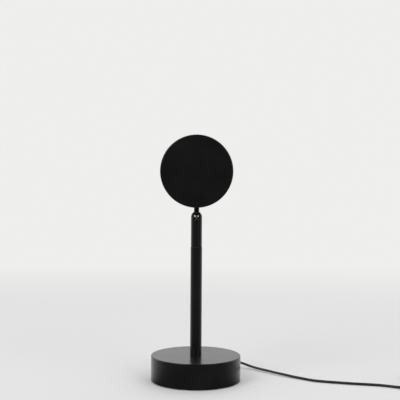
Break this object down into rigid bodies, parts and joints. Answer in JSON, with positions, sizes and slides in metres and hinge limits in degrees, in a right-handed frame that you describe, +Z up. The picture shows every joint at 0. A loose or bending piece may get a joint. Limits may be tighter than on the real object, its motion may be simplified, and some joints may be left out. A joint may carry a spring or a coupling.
{
  "type": "sunset projection lamp",
  "caption": "Sunset projection lamp: drum head with a domed lens on a ball joint, a swivel barrel, a slim pole and a round weighted base, with a corded switch and plug.",
  "frame": {"origin": "middle of the foot pad's underside, on the table", "axes": "+Z up along the pole, +Y the way the head shines at rest, +X to the cable's side"},
  "size_m": [0.3713, 0.1071, 0.2453],
  "materials": {
    "black_paint": "satin black powder coat",
    "iron": "as cast",
    "zinc_steel": "zinc plated",
    "ball_steel": "polished nickel",
    "foot_foam": "matt closed-cell foam",
    "brass": "plain",
    "black_plastic": "fine texture",
    "gloss_black": "smooth",
    "cable": "satin flexible cable sheath",
    "nylon": "natural nylon",
    "aluminium": "plain",
    "board_white": "white solder mask",
    "emitter": "yellow phosphor under clear silicone",
    "clear_optic": "clear",
    "filter": "amber coating",
    "lens_glass": "polished, warm coating",
    "silicone": "matt",
    "plug_steel": "nickel plated"
  },
  "bodies": {
    "stand": {"base_shell": "black_paint", "ballast": "iron", "bottom_plate": "zinc_steel", "bottom_plate_screws": "zinc_steel", "foot_pad": "foot_foam", "base_nipple": "brass", "lock_washer": "zinc_steel", "nipple_nut": "brass", "cord_clamp": "black_plastic", "cord_clamp_screws": "zinc_steel", "inner_cord": "cable", "splice_sleeve": "black_plastic", "pole_lead": "cable", "pole_tube": "black_paint", "pole_top_bush": "brass", "stop_pin": "zinc_steel", "slip_washer": "black_plastic", "swivel_screw": "zinc_steel", "wave_washer": "zinc_steel", "cord_gland": "cable", "cord_run": "cable", "switch_lower_shell": "black_plastic", "switch_upper_shell": "black_plastic", "switch_screws": "zinc_steel", "switch_block": "nylon", "switch_contacts": "brass", "cord_lead": "cable", "cord_coil": "cable", "cord_tie": "black_plastic", "cord_tail": "cable", "plug_overmould": "cable", "plug_shell": "plug_steel", "plug_tongue": "nylon", "plug_contacts": "brass"},
    "barrel": {"socket_barrel": "black_paint", "barrel_plug": "brass", "spring_washer": "zinc_steel", "seat_spring": "zinc_steel", "ball_seat": "nylon"},
    "ball": {"ball_stud": "ball_steel", "stud_washer": "zinc_steel", "stud_nut": "zinc_steel", "stud_lead": "cable"},
    "head": {"head_shell": "black_paint", "rear_cover": "black_paint", "heat_sink": "aluminium", "led_board": "board_white", "led_board_screws": "zinc_steel", "led_emitter": "emitter", "led_resistors": "black_plastic", "head_lead": "cable", "condenser_holder": "black_plastic", "condenser_lens": "clear_optic", "colour_filter": "filter", "light_baffle": "black_plastic", "lens_gasket": "silicone", "front_lens": "lens_glass", "bezel_ring": "black_paint"},
    "button": {"switch_button": "gloss_black"}
  },
  "joints": [
    {"name": "barrel_pan", "type": "hinge", "parent": "stand", "child": "barrel", "pos_m": [0, 0, 0.13445], "axis": [0, 0, 1], "range_deg": [-165, 165]},
    {"name": "head_tilt", "type": "hinge", "parent": "barrel", "child": "ball", "pos_m": [0, 0, 0.16445], "axis": [1, 0, 0], "range_deg": [0, 90]},
    {"name": "head_spin", "type": "hinge", "parent": "ball", "child": "head", "pos_m": [0, 0, 0.16445], "axis": [0, 0, 1], "range_deg": [-180, 180]},
    {"name": "switch_press", "type": "slide", "parent": "stand", "child": "button", "axis": [0, 0, -1], "range_m": [0, 0.0015], "stiffness_N_per_m": 800, "springref_m": -0.0015}
  ]
}
